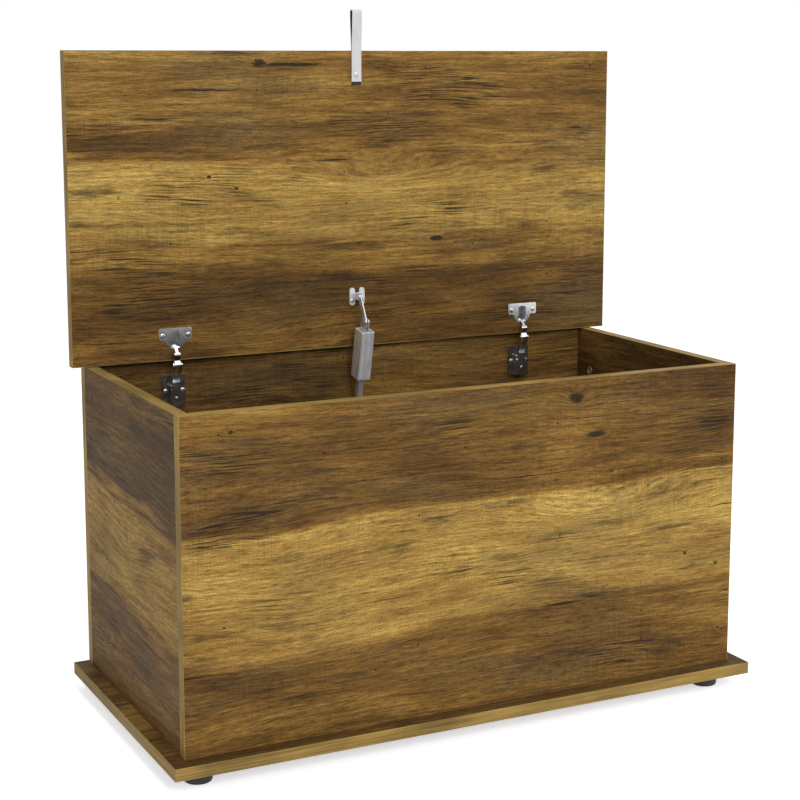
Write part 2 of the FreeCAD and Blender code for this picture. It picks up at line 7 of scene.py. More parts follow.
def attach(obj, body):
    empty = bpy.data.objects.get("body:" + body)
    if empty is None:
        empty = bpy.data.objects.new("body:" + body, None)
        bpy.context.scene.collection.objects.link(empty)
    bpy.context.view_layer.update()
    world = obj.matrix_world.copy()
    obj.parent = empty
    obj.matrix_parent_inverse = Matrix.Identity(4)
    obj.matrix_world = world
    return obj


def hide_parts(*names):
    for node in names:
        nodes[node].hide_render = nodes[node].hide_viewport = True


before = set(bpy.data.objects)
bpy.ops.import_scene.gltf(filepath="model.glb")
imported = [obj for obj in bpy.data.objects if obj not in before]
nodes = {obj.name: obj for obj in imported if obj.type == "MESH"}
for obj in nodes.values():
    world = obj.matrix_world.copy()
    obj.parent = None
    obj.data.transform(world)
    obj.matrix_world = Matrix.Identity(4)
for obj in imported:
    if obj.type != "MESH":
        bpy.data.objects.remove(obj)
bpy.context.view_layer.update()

# ---- Camera -----------------------------------------------------------------
# A long lens in front of the chest and to its left, about level with the top edge
# of the open lid and tipped down a little.
camera_data = bpy.data.cameras.new("camera")
camera_data.sensor_width = 36.0
camera_data.lens = 79.33
camera_data.shift_y = -0.08
camera_data.clip_start = 0.05
camera_data.clip_end = 60.0
camera = bpy.data.objects.new("camera", camera_data)
camera.location = (-1.06796, -2.09736, 0.87051)
tipped_down = 0.157479
turned_right = 0.464309
camera.rotation_euler = (math.pi / 2 - tipped_down, 0.0, -turned_right)
bpy.context.scene.collection.objects.link(camera)
bpy.context.scene.camera = camera
bpy.context.scene.view_settings.view_transform = "Standard"

# ---- Studio -----------------------------------------------------------------
# A pale floor, a white room and three soft lamps: the main one high up behind the
# viewer and to the right, a weaker one farther round to the right and one overhead.


def straight_view(tree):
    """1 for rays that show a surface straight, in a mirror or through glass."""
    rays = tree.nodes.new("ShaderNodeLightPath")
    seen = rays.outputs["Is Camera Ray"]
    for kind in ("Is Glossy Ray", "Is Transmission Ray"):
        either = tree.nodes.new("ShaderNodeMath")
        either.operation = "MAXIMUM"
        tree.links.new(seen, either.inputs[0])
        tree.links.new(rays.outputs[kind], either.inputs[1])
        seen = either.outputs[0]
    return seen


world = bpy.data.worlds.new("room")
world.use_nodes = True
bpy.context.scene.world = world
tree = world.node_tree
tree.nodes.clear()
out = tree.nodes.new("ShaderNodeOutputWorld")
mix = tree.nodes.new("ShaderNodeMixShader")
shown = tree.nodes.new("ShaderNodeBackground")
shown.inputs["Color"].default_value = (1.0, 1.0, 1.0, 1.0)
shown.inputs["Strength"].default_value = 1.0
lit = tree.nodes.new("ShaderNodeBackground")
lit.inputs["Color"].default_value = (0.97, 0.98, 1.0, 1.0)
lit.inputs["Strength"].default_value = 0.52
tree.links.new(straight_view(tree), mix.inputs["Fac"])
tree.links.new(lit.outputs[0], mix.inputs[1])
tree.links.new(shown.outputs[0], mix.inputs[2])
tree.links.new(mix.outputs[0], out.inputs["Surface"])

chest_middle = Vector((0.0, 0.0, 0.4))


def soft_lamp(name, place, size, power):
    """A square lamp that points at the middle of the chest."""
    data = bpy.data.lights.new(name, "AREA")
    data.shape = "SQUARE"
    data.size = size
    data.energy = power
    lamp = bpy.data.objects.new(name, data)
    lamp.location = place
    way = chest_middle - Vector(place)
    lamp.rotation_euler = way.to_track_quat("-Z", "Y").to_euler()
    bpy.context.scene.collection.objects.link(lamp)


soft_lamp("key_lamp", (-0.1, -3.8, 2.6), size=1.8, power=86.0)
soft_lamp("fill_lamp", (2.9, -2.6, 1.6), size=2.0, power=24.0)
soft_lamp("top_lamp", (0.0, -0.4, 3.4), size=2.0, power=30.0)

bm = bmesh.new()
bmesh.ops.create_grid(bm, x_segments=1, y_segments=1, size=14.0)
floor_mesh = bpy.data.meshes.new("floor")
bm.to_mesh(floor_mesh)
bm.free()
floor = bpy.data.objects.new("floor", floor_mesh)
bpy.context.scene.collection.objects.link(floor)
floor_look = bpy.data.materials.new("floor")
floor_look.use_nodes = True
tree = floor_look.node_tree
tree.nodes.clear()
out = tree.nodes.new("ShaderNodeOutputMaterial")
matt = tree.nodes.new("ShaderNodeBsdfDiffuse")
matt.inputs["Color"].default_value = (0.88, 0.88, 0.88, 1.0)
glow = tree.nodes.new("ShaderNodeEmission")
glow.inputs["Strength"].default_value = 0.60
both = tree.nodes.new("ShaderNodeAddShader")
mix = tree.nodes.new("ShaderNodeMixShader")
tree.links.new(matt.outputs[0], both.inputs[0])
tree.links.new(glow.outputs[0], both.inputs[1])
tree.links.new(straight_view(tree), mix.inputs["Fac"])
tree.links.new(matt.outputs[0], mix.inputs[1])
tree.links.new(both.outputs[0], mix.inputs[2])
tree.links.new(mix.outputs[0], out.inputs["Surface"])
floor_mesh.materials.append(floor_look)

# ---- Boards -------------------------------------------------------------------
# Particle board under a printed oak foil: broad dark and golden bands along the
# grain, fine fibres, bundles of near black lines, grey patches, knots and a few
# long thin cracks and pinholes, satin to touch.


class Graph:
    """Shorthand for building a material out of nodes."""

    def __init__(self, name):
        self.material = bpy.data.materials.new(name)
        self.material.use_nodes = True
        self.tree = self.material.node_tree
        self.shader = self.tree.nodes["Principled BSDF"]

    def feed(self, socket, value):
        if isinstance(value, bpy.types.NodeSocket):
            self.tree.links.new(value, socket)
        else:
            socket.default_value = value

    def math(self, kind, *values, clamp=False):
        made = self.tree.nodes.new("ShaderNodeMath")
        made.operation = kind
        made.use_clamp = clamp
        for socket, value in zip(made.inputs, values):
            self.feed(socket, value)
        return made.outputs[0]

    def plus(self, first, second, clamp=False):
        return self.math("ADD", first, second, clamp=clamp)

    def minus(self, first, second):
        return self.math("SUBTRACT", first, second)

    def times(self, first, second):
        return self.math("MULTIPLY", first, second)

    def vector(self, x, y, z):
        made = self.tree.nodes.new("ShaderNodeCombineXYZ")
        for socket, value in zip(made.inputs, (x, y, z)):
            self.feed(socket, value)
        return made.outputs[0]

    def scaled(self, place, scales):
        """The place with each of its parts times a scale of its own."""
        return self.vector(*[self.times(part, scale) for part, scale in zip(place, scales)])

    def noise(self, where, scale=1.0, detail=2.0, roughness=0.5):
        made = self.tree.nodes.new("ShaderNodeTexNoise")
        self.feed(made.inputs["Vector"], where)
        made.inputs["Scale"].default_value = scale
        made.inputs["Detail"].default_value = detail
        made.inputs["Roughness"].default_value = roughness
        return made.outputs["Fac"]

    def ramp(self, value, *stops):
        """A grey or a colour for each stop's value, and even steps between them."""
        made = self.tree.nodes.new("ShaderNodeValToRGB")
        made.color_ramp.interpolation = "LINEAR"
        self.feed(made.inputs["Fac"], value)
        points = made.color_ramp.elements
        while len(points) < len(stops):
            points.new(0.5)
        for point, (place, colour) in zip(points, stops):
            point.position = place
            point.color = (*(colour if isinstance(colour, tuple) else (colour,) * 3), 1.0)
        return made.outputs["Color"]

    def mix(self, kind, amount, first, second):
        made = self.tree.nodes.new("ShaderNodeMix")
        made.data_type = "RGBA"
        made.blend_type = kind
        made.clamp_factor = True
        share, below, above = made.inputs[0], made.inputs[6], made.inputs[7]
        self.feed(share, amount)
        for socket, value in ((below, first), (above, second)):
            self.feed(socket, (*value, 1.0) if isinstance(value, tuple) else value)
        return made.outputs[2]

    def place(self):
        """The three parts of a point's place on the object."""
        where = self.tree.nodes.new("ShaderNodeTexCoord")
        apart = self.tree.nodes.new("ShaderNodeSeparateXYZ")
        self.tree.links.new(where.outputs["Object"], apart.inputs[0])
        return apart.outputs

    def bump(self, height, strength, distance):
        made = self.tree.nodes.new("ShaderNodeBump")
        made.inputs["Strength"].default_value = strength
        made.inputs["Distance"].default_value = distance
        self.feed(made.inputs["Height"], height)
        self.tree.links.new(made.outputs[0], self.shader.inputs["Normal"])


brown_to_gold = ((0.0, (0.074, 0.039, 0.0135)), (0.18, (0.126, 0.066, 0.0190)),
                 (0.36, (0.203, 0.109, 0.0275)), (0.55, (0.292, 0.169, 0.0430)),
                 (0.75, (0.392, 0.247, 0.0640)), (1.0, (0.500, 0.335, 0.0930)))
fibre_tints = ((0.28, (0.46, 0.44, 0.41)), (0.45, (0.84, 0.83, 0.81)),
               (0.58, (1.08, 1.07, 1.03)), (0.74, (1.40, 1.38, 1.26)))
ring_tint = (0.50, 0.44, 0.40)
patch_grey = (0.142, 0.100, 0.044)
smudge_brown = (0.056, 0.035, 0.016)
bundle_black = (0.022, 0.016, 0.011)
crack_black = (0.016, 0.012, 0.010)
pinhole_black = (0.012, 0.010, 0.009)
knot_black = (0.020, 0.016, 0.012)
# where the first and the last bands stand alone, in metres along the grain
band_ends = {"X": (-0.40, 0.40), "Y": (-0.19, 0.19)}


def oak_foil(name, along, across, levels, seed, first_bands, last_bands, eyes=(), knots=()):
    """The foil's print on one board.  The bands give, from the board's low level to
    its high one, how golden the print is, at its first end and at its last: 0 is the
    darkest brown and 1 the lightest gold.  An eye or a knot is given by its place
    along the grain, how far it is from the low level, half its length and half its
    height.  The grain flows round both, and a knot has a black heart."""
    g = Graph(name)
    low, high = levels
    place = dict(zip("XYZ", g.place()))
    run = place[along]
    edge = g.minus(place[across], low)

    def streaks(along_scale, cross_scale, shift, detail=2.0, roughness=0.5):
        """Noise drawn out along the grain.  It follows the waves and swells so far."""
        where = g.vector(g.times(run, along_scale), g.times(cross, cross_scale), seed + shift)
        return g.noise(where, 1.0, detail, roughness)

    def centred(value, size):
        return g.times(g.minus(value, 0.5), size)

    def halves_away(value, middle, half):
        """The square of how many halves a value is from a middle."""
        return g.math("POWER", g.math("DIVIDE", g.minus(value, middle), half), 2.0)

    # the grain's slow and quick waves, drawn from straight streaks, and how it
    # swells round the eyes and knots
    cross = edge
    slow = centred(streaks(1.6, 5.0, 0.0), 0.060)
    quick = centred(streaks(7.0, 32.0, 1.0), 0.010)
    cross = g.plus(g.plus(edge, slow), quick)
    heart = None
    for spot in eyes + knots:
        spot_run, spot_edge, half_length, half_height = spot
        far = g.plus(halves_away(run, spot_run, half_length),
                     halves_away(edge, spot_edge, half_height))
        swell = g.math("EXPONENT", g.times(far, -1.0))
        cross = g.plus(cross, g.times(swell, half_height * 0.8))
        if spot in knots:
            core = g.math("EXPONENT", g.times(far, -4.0))
            heart = core if heart is None else g.math("MAXIMUM", heart, core)
    # bands with feathered edges, then patches of more and less gold
    level = g.plus(g.math("DIVIDE", edge, high - low),
                   centred(streaks(1.5, 36.0, 3.0, detail=5.0, roughness=0.62), 0.34))
    level = g.plus(level, centred(streaks(10.0, 170.0, 4.0, detail=3.0, roughness=0.6), 0.12))
    first_end, last_end = band_ends[along]
    share = g.math("DIVIDE", g.minus(run, first_end), last_end - first_end, clamp=True)
    gold = g.mix("MIX", share, g.ramp(level, *first_bands), g.ramp(level, *last_bands))
    gold = g.plus(gold, centred(streaks(3.6, 18.0, 5.0, detail=4.0, roughness=0.6), 1.00))
    gold = g.plus(gold, centred(streaks(11.0, 95.0, 6.0, detail=3.0, roughness=0.6), 0.55),
                  clamp=True)
    colour = g.ramp(gold, *brown_to_gold)
    # greyish patches
    grey = streaks(3.4, 14.0, 7.0, detail=3.0, roughness=0.6)
    colour = g.mix("MIX", g.ramp(grey, (0.50, 0.0), (0.68, 0.46)), colour, patch_grey)
    # fibres: long streaks, short streaks and fine flecks
    fibre = streaks(13.0, 340.0, 8.0, detail=4.0, roughness=0.66)
    colour = g.mix("MULTIPLY", 1.0, colour, g.ramp(fibre, *fibre_tints))
    hair = streaks(70.0, 560.0, 9.0, detail=3.0, roughness=0.66)
    colour = g.mix("MULTIPLY", 1.0, colour,
                   g.ramp(hair, (0.28, 0.50), (0.48, 1.0), (0.70, 1.42)))
    fleck = g.noise(g.vector(g.times(run, 420.0), g.times(edge, 640.0), seed), roughness=0.6)
    colour = g.mix("MULTIPLY", 1.0, colour,
                   g.ramp(fleck, (0.28, 0.68), (0.50, 1.0), (0.72, 1.26)))
    # growth lines: a sine across the grain, narrowed, and faded out in places
    rings = g.plus(g.times(cross, 640.0), g.times(streaks(2.0, 8.0, 10.0, detail=3.0), 30.0))
    rings = g.math("POWER", g.plus(g.times(g.math("SINE", rings), 0.5), 0.5), 8.0)
    rings = g.times(rings, g.ramp(streaks(3.4, 13.0, 11.0), (0.44, 0.0), (0.62, 0.70)))
    rings = g.times(rings, g.ramp(hair, (0.36, 1.0), (0.58, 0.25)))
    colour = g.mix("MULTIPLY", rings, colour, ring_tint)
    # dark smudges, and bundles of near black lines
    smudge = g.ramp(streaks(6.0, 36.0, 12.0, detail=5.0, roughness=0.68),
                    (0.55, 0.0), (0.68, 0.80))
    colour = g.mix("MIX", smudge, colour, smudge_brown)
    bundle = g.ramp(streaks(4.6, 15.0, 13.0), (0.53, 0.0), (0.64, 1.0))
    lines = g.ramp(streaks(15.0, 500.0, 14.0), (0.50, 0.0), (0.60, 0.92))
    colour = g.mix("MIX", g.times(bundle, lines), colour, bundle_black)
    # long thin cracks that taper off, at most fifteen to a metre across the grain
    ridge = g.plus(g.times(cross, 15.0), centred(streaks(38.0, 8.0, 15.0), 0.05))
    ridge = g.math("ABSOLUTE", g.minus(g.math("FRACT", ridge), 0.5))
    width = g.times(g.ramp(streaks(6.0, 17.0, 16.0, detail=1.0), (0.57, 0.0), (0.74, 1.0)), 0.017)
    crack = g.math("GREATER_THAN", width, ridge)
    colour = g.mix("MIX", crack, colour, crack_black)
    # pinholes, in one cell out of five
    cells = g.tree.nodes.new("ShaderNodeTexVoronoi")
    cells.voronoi_dimensions = "2D"
    cells.inputs["Scale"].default_value = 1.0
    g.feed(cells.inputs["Vector"], g.vector(g.times(g.plus(run, seed * 0.37), 15.0),
                                            g.times(g.plus(edge, seed * 0.61), 22.0), 0.0))
    pick = g.tree.nodes.new("ShaderNodeSeparateColor")
    g.tree.links.new(cells.outputs["Color"], pick.inputs[0])
    hole = g.times(g.math("GREATER_THAN", pick.outputs[0], 0.80),
                   g.ramp(cells.outputs["Distance"], (0.018, 0.95), (0.030, 0.0)))
    colour = g.mix("MIX", hole, colour, pinhole_black)
    # the knots' hearts, made ragged by the fibres
    if heart is not None:
        ragged = g.times(g.ramp(fibre, (0.38, 0.25), (0.56, 1.5)),
                         g.ramp(hair, (0.38, 0.4), (0.56, 1.4)))
        heart = g.times(heart, ragged)
        colour = g.mix("MIX", g.ramp(heart, (0.16, 0.0), (0.42, 0.93)), colour, knot_black)
    # faint cross marks of the saw, here and there
    saw = g.noise(g.vector(g.times(run, 430.0), g.times(edge, 20.0), seed + 17.0), detail=1.0)
    where = g.times(g.ramp(streaks(3.0, 9.0, 18.0), (0.46, 0.0), (0.62, 1.0)), 0.85)
    colour = g.mix("MULTIPLY", where, colour, g.ramp(saw, (0.32, 0.84), (0.68, 1.08)))
    g.feed(g.shader.inputs["Base Color"], colour)
    g.feed(g.shader.inputs["Roughness"], g.ramp(fibre, (0.3, 0.60), (0.7, 0.50)))
    g.shader.inputs["Specular IOR Level"].default_value = 0.05
    g.bump(g.plus(g.times(fibre, 0.6), g.times(hair, 0.4)), strength=0.20, distance=0.0004)
    return g.material


def dress(name, material):
    """Gives a carried-over board or fastener its finish."""
    nodes[name].data.materials.clear()
    nodes[name].data.materials.append(material)


# the bands across the boards: how far up from the low edge, and how golden
panel_left = ((0.0, 0.34), (0.10, 0.29), (0.20, 0.25), (0.28, 0.52), (0.38, 0.62), (0.50, 0.62),
              (0.61, 0.66), (0.67, 0.24), (0.78, 0.20), (0.88, 0.30), (1.0, 0.38))
panel_right = ((0.0, 0.34), (0.09, 0.31), (0.17, 0.22), (0.27, 0.26), (0.33, 0.60), (0.44, 0.74),
               (0.54, 0.80), (0.64, 0.78), (0.70, 0.24), (0.80, 0.22), (0.90, 0.16), (1.0, 0.12))
lid_left = ((0.0, 0.26), (0.20, 0.24), (0.31, 0.26), (0.36, 0.56), (0.43, 0.66), (0.55, 0.76),
            (0.63, 0.58), (0.68, 0.14), (0.75, 0.18), (0.81, 0.56), (0.88, 0.28), (0.95, 0.44),
            (1.0, 0.72))
lid_right = ((0.0, 0.26), (0.14, 0.16), (0.26, 0.20), (0.34, 0.60), (0.46, 0.74), (0.58, 0.62),
             (0.66, 0.50), (0.76, 0.40), (0.82, 0.24), (0.90, 0.28), (1.0, 0.48))
side_back = ((0.0, 0.20), (0.14, 0.24), (0.29, 0.22), (0.35, 0.66), (0.46, 0.60), (0.56, 0.74),
             (0.65, 0.66), (0.70, 0.18), (0.84, 0.08), (1.0, 0.10))
side_front = ((0.0, 0.26), (0.16, 0.20), (0.28, 0.30), (0.36, 0.58), (0.48, 0.68), (0.58, 0.62),
              (0.63, 0.50), (0.68, 0.12), (0.82, 0.18), (1.0, 0.24))
base_bands = ((0.0, 0.14), (0.07, 0.16), (0.16, 0.40), (0.26, 0.22), (0.38, 0.60), (0.52, 0.52),
              (0.62, 0.22), (0.74, 0.44), (0.84, 0.18), (0.92, 0.34), (1.0, 0.20))
# the boards' low and high edges, in metres
box_levels = (0.037, 0.457)
lid_levels = (0.458, 0.878)
base_levels = (-0.21, 0.21)
dress("front_panel", oak_foil(
    "front_foil", "X", "Z", box_levels, 2.0, panel_left, panel_right,
    eyes=((0.21, 0.240, 0.170, 0.030),),
    knots=((0.176, 0.344, 0.024, 0.0070), (0.145, 0.395, 0.018, 0.0110),
           (0.128, 0.120, 0.050, 0.0026), (0.323, 0.164, 0.0040, 0.0046),
           (0.375, 0.143, 0.0050, 0.0034), (0.382, 0.050, 0.0034, 0.0030),
           (0.201, 0.292, 0.0030, 0.0034), (-0.335, 0.395, 0.0060, 0.0040))))
dress("back_panel", oak_foil(
    "back_foil", "X", "Z", box_levels, 31.0, panel_right, panel_left,
    eyes=((-0.12, 0.230, 0.150, 0.026),),
    knots=((0.205, 0.330, 0.014, 0.0050),)))
dress("left_side_panel", oak_foil(
    "left_foil", "Y", "Z", box_levels, 47.0, side_front, side_back,
    eyes=((0.02, 0.205, 0.080, 0.024),),
    knots=((0.155, 0.382, 0.008, 0.006), (0.165, 0.325, 0.008, 0.006),
           (0.110, 0.062, 0.006, 0.009))))
dress("right_side_panel", oak_foil(
    "right_foil", "Y", "Z", box_levels, 58.0, side_back, side_front,
    eyes=((-0.04, 0.220, 0.090, 0.024),),
    knots=((0.06, 0.345, 0.010, 0.006),)))
dress("lid_board", oak_foil(
    "lid_foil", "X", "Z", lid_levels, 73.0, lid_left, lid_right,
    eyes=((0.07, 0.245, 0.130, 0.028),),
    knots=((-0.147, 0.403, 0.016, 0.0090), (-0.100, 0.401, 0.070, 0.0040),
           (-0.038, 0.268, 0.046, 0.0024), (-0.222, 0.250, 0.0050, 0.0034),
           (-0.182, 0.233, 0.0042, 0.0034), (0.130, 0.150, 0.018, 0.0060))))
dress("base_board", oak_foil(
    "base_foil", "X", "Y", base_levels, 85.0, base_bands, base_bands))

# ---- Edge banding ---------------------------------------------------------------
# Thin strips glued to every cut edge, plainer and a little lighter than the foil,
# with their corners broken, so a fine line shows between strip and board.
MM = 0.001                          # pieces are sized and placed in millimetres
strip, broken_corner = 0.8, 0.22    # how thick a strip is, and its rounding
half_lid, half_box = 420, 400       # the base is as long as the lid
base_front, base_back = -210, 210
base_low, base_top, box_top = 21, 37, 457
front_panel, back_panel = (-188, -172), (187, 203)      # front faces, back faces
side_inside = 384                   # the side panels' inner faces
lid_face, lid_outside = 174, 190    # the lid is drawn upright
lid_low, lid_high = 458, 878


def block(bm, low, high, rounding):
    """A closed box between two corners with its edges rounded."""
    low, high = (Vector([part * MM for part in corner]) for corner in (low, high))
    made = bmesh.ops.create_cube(bm, size=1.0)["verts"]
    bmesh.ops.scale(bm, vec=high - low, verts=made)
    bmesh.ops.translate(bm, vec=(low + high) / 2, verts=made)
    edges = list({edge for vert in made for edge in vert.link_edges})
    bmesh.ops.bevel(bm, geom=edges, offset=rounding * MM, offset_type="OFFSET", segments=2,
                    profile=0.5, affect="EDGES", clamp_overlap=True, material=-1)


def piece(name, bm, body, slot, material, *stands_for, crease=35.0):
    """Turns a finished mesh into a named piece that rides on a body.  Edges that
    turn by more than the crease, in degrees, stay sharp."""
    bmesh.ops.recalc_face_normals(bm, faces=bm.faces[:])
    for face in bm.faces:
        face.smooth = True
    for edge in bm.edges:
        flat = edge.calc_face_angle(0.0) < math.radians(crease)
        edge.smooth = len(edge.link_faces) == 2 and flat
    mesh = bpy.data.meshes.new(name)
    bm.to_mesh(mesh)
    bm.free()
    mesh.materials.append(material)
    made = bpy.data.objects.new(name, mesh)
    bpy.context.scene.collection.objects.link(made)
    even = made.modifiers.new("even_shading", "WEIGHTED_NORMAL")
    even.keep_sharp = True
    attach(made, body)
    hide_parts(*stands_for)


def banding(name, along, seed, tone):
    g = Graph(name)
    place = g.place()
    lengthwise, crosswise = 9.0, 420.0
    scales = [lengthwise if axis == along else crosswise for axis in "XYZ"]
    fibre = g.noise(g.scaled(place, scales), 1.0 + seed * 0.01, detail=4.0, roughness=0.62)
    slow = g.noise(g.scaled(place, [lengthwise] * 3), detail=4.0)
    stops = ((0.26, (0.125, 0.077, 0.025)), (0.44, (0.235, 0.153, 0.046)),
             (0.58, (0.305, 0.202, 0.059)), (0.76, (0.390, 0.266, 0.083)))
    colour = g.ramp(fibre, *[(at, tuple(part * tone for part in shade)) for at, shade in stops])
    colour = g.mix("MULTIPLY", 1.0, colour, g.ramp(
        slow, (0.34, (0.66, 0.66, 0.68)), (0.52, (1.0, 1.0, 1.0)), (0.70, (1.16, 1.15, 1.10))))
    g.feed(g.shader.inputs["Base Color"], colour)
    g.feed(g.shader.inputs["Roughness"], g.ramp(fibre, (0.3, 0.58), (0.7, 0.45)))
    g.shader.inputs["Specular IOR Level"].default_value = 0.06
    g.bump(fibre, strength=0.15, distance=0.0003)
    return g.material


def strips(name, body, node, material, boxes):
    bm = bmesh.new()
    for low, high in boxes:
        block(bm, low, high, broken_corner)
    piece(name, bm, body, "edge_band", material, node)


def both_ends(half, front, back, low, high):
    """A strip on each end of a board."""
    return [((-half, front, low), (strip - half, back, high)),
            ((half - strip, front, low), (half, back, high))]


strip_x = banding("banding_along", "X", 1.0, 1.07)
strip_y = banding("banding_deep", "Y", 2.0, 1.08)
strip_z = banding("banding_upright", "Z", 3.0, 1.24)
strips("base_banding_long", "box", "base_edging", strip_x, [
    ((-half_lid, base_front, base_low), (half_lid, base_front + strip, base_top)),
    ((-half_lid, base_back - strip, base_low), (half_lid, base_back, base_top))])
strips("base_banding_ends", "box", "base_edging", strip_y,
       both_ends(half_lid, base_front + strip, base_back - strip, base_low, base_top))
for panel, (front, back) in (("front", front_panel), ("back", back_panel)):
    strips(panel + "_banding_ends", "box", panel + "_panel_edging", strip_z,
           both_ends(half_box, front, back, base_top, box_top))
    strips(panel + "_banding_top", "box", panel + "_panel_edging", strip_x, [
        ((strip - half_box, front, box_top - strip), (half_box - strip, back, box_top))])
strips("left_banding", "box", "left_side_edging", strip_y, [
    ((-half_box, front_panel[1], box_top - strip), (-side_inside, back_panel[0], box_top))])
strips("right_banding", "box", "right_side_edging", strip_y, [
    ((side_inside, front_panel[1], box_top - strip), (half_box, back_panel[0], box_top))])
strips("lid_banding_long", "lid", "lid_edging", strip_x, [
    ((-half_lid, lid_face, lid_low), (half_lid, lid_outside, lid_low + strip)),
    ((-half_lid, lid_face, lid_high - strip), (half_lid, lid_outside, lid_high))])
strips("lid_banding_ends", "lid", "lid_edging", strip_z,
       both_ends(half_lid, lid_face, lid_outside, lid_low + strip, lid_high - strip))

# ---- Feet -----------------------------------------------------------------------
# Black moulded discs, a little smaller at the floor, with a rounded lower rim and
# a deep well underneath for the screw that holds each one to the base.
foot_x, foot_y = 376, 166.5         # a foot's middle, from the base's
foot_profile = [(6.0, 0.0), (15.5, 0.0), (16.6, 0.2), (17.3, 0.8), (17.7, 1.8), (18.0, 4.0),
                (18.4, 18.0), (18.4, 20.5), (18.1, 21.0), (2.1, 21.0), (2.1, 12.0),
                (6.0, 12.0), (6.0, 0.0)]
OUTWARD = {"up": Matrix.Identity(4), "down": Matrix.Rotation(math.pi, 4, "X"),
           "forward": Matrix.Rotation(math.pi / 2, 4, "X"),
           "left": Matrix.Rotation(-math.pi / 2, 4, "Y"),
           "right": Matrix.Rotation(math.pi / 2, 4, "Y")}


def turned(bm, profile, steps):
    """Spins (radius, height) points right round the upright axis."""
    made = [bm.verts.new((radius, 0.0, height)) for radius, height in profile]
    edges = [bm.edges.new(pair) for pair in zip(made, made[1:])]
    bmesh.ops.spin(bm, geom=made + edges, cent=(0, 0, 0), axis=(0, 0, 1), dvec=(0, 0, 0),
                   angle=2 * math.pi, steps=steps, use_merge=True, use_normal_flip=False,
                   use_duplicate=False)
    bmesh.ops.remove_doubles(bm, verts=bm.verts[:], dist=1e-6)


def turned_mesh(name, profile, steps):
    bm = bmesh.new()
    turned(bm, profile, steps)
    mesh = bpy.data.meshes.new(name)
    bm.to_mesh(mesh)
    bm.free()
    return mesh


def set_copy(bm, mesh, place, outward):
    """Adds a copy of a small mesh, drawn in millimetres with its outer end up."""
    before = set(bm.verts)
    bm.from_mesh(mesh)
    added = [vert for vert in bm.verts if vert not in before]
    matrix = Matrix.Translation(Vector(place) * MM) @ OUTWARD[outward] @ Matrix.Scale(MM, 4)
    bmesh.ops.transform(bm, matrix=matrix, verts=added)


def row_of(name, mesh, body, slot, material, node, outward, places, crease=28.0):
    """One piece made of copies of a mesh, one at each place."""
    bm = bmesh.new()
    for place in places:
        set_copy(bm, mesh, place, outward)
    piece(name, bm, body, slot, material, node, crease=crease)


g = Graph("moulded_black")
x, y, z = g.place()
grain = g.noise(g.vector(x, y, z), 900.0, detail=3.0, roughness=0.6)
blotch = g.noise(g.vector(x, y, z), 60.0, detail=3.0)
g.feed(g.shader.inputs["Base Color"], g.mix(
    "MIX", g.ramp(blotch, (0.35, 0.0), (0.7, 1.0)), (0.010, 0.010, 0.011), (0.019, 0.019, 0.021)))
g.feed(g.shader.inputs["Roughness"], g.ramp(grain, (0.3, 0.44), (0.7, 0.60)))
g.bump(grain, strength=0.20, distance=0.0002)
black_plastic = g.material

disc = turned_mesh("foot_disc", foot_profile, 72)
for foot, x0, y0 in (("front_left", -foot_x, -foot_y), ("front_right", foot_x, -foot_y),
                     ("back_left", -foot_x, foot_y), ("back_right", foot_x, foot_y)):
    row_of("round_foot_" + foot, disc, "box", "foot_plastic", black_plastic, "foot_" + foot,
           "up", [(x0, y0, 0)], crease=35.0)

# ---- Screws and cams ------------------------------------------------------------------
# Zinc plated steel, turned, with a cross recess in each head.  The cams in the side
# panels are cast discs with a raised ring and a larger cross.
hinge_x = 275                       # how far each hinge's middle is from the chest's


def plated(name, colour, dullest, along, roughness, metallic=1.0, fine=1500.0, marks=0.08,
           lean=0.0):
    """Plated steel, drawn lengthwise, with a little dullness here and there."""
    g = Graph(name)
    x, y, z = g.place()
    if lean:
        y, z = (g.plus(g.times(y, math.cos(lean)), g.times(z, math.sin(lean))),
                g.minus(g.times(z, math.cos(lean)), g.times(y, math.sin(lean))))
    scales = [fine / 30 if axis == along else fine for axis in "XYZ"]
    drawn = g.noise(g.scaled((x, y, z), scales))
    smear = g.noise(g.vector(x, y, z), 110.0, detail=3.0, roughness=0.55)
    tone = g.mix("MIX", g.ramp(smear, (0.35, 0.0), (0.70, 1.0)),
                 tuple(part * dullest for part in colour), colour)
    tone = g.mix("MULTIPLY", 1.0, tone,
                 g.ramp(drawn, (0.3, 1.0 - 1.25 * marks), (0.7, 1.0 + 0.75 * marks)))
    g.feed(g.shader.inputs["Base Color"], tone)
    g.shader.inputs["Metallic"].default_value = metallic
    g.feed(g.shader.inputs["Roughness"], g.plus(g.times(smear, 0.12), roughness - 0.06))
    return g.material


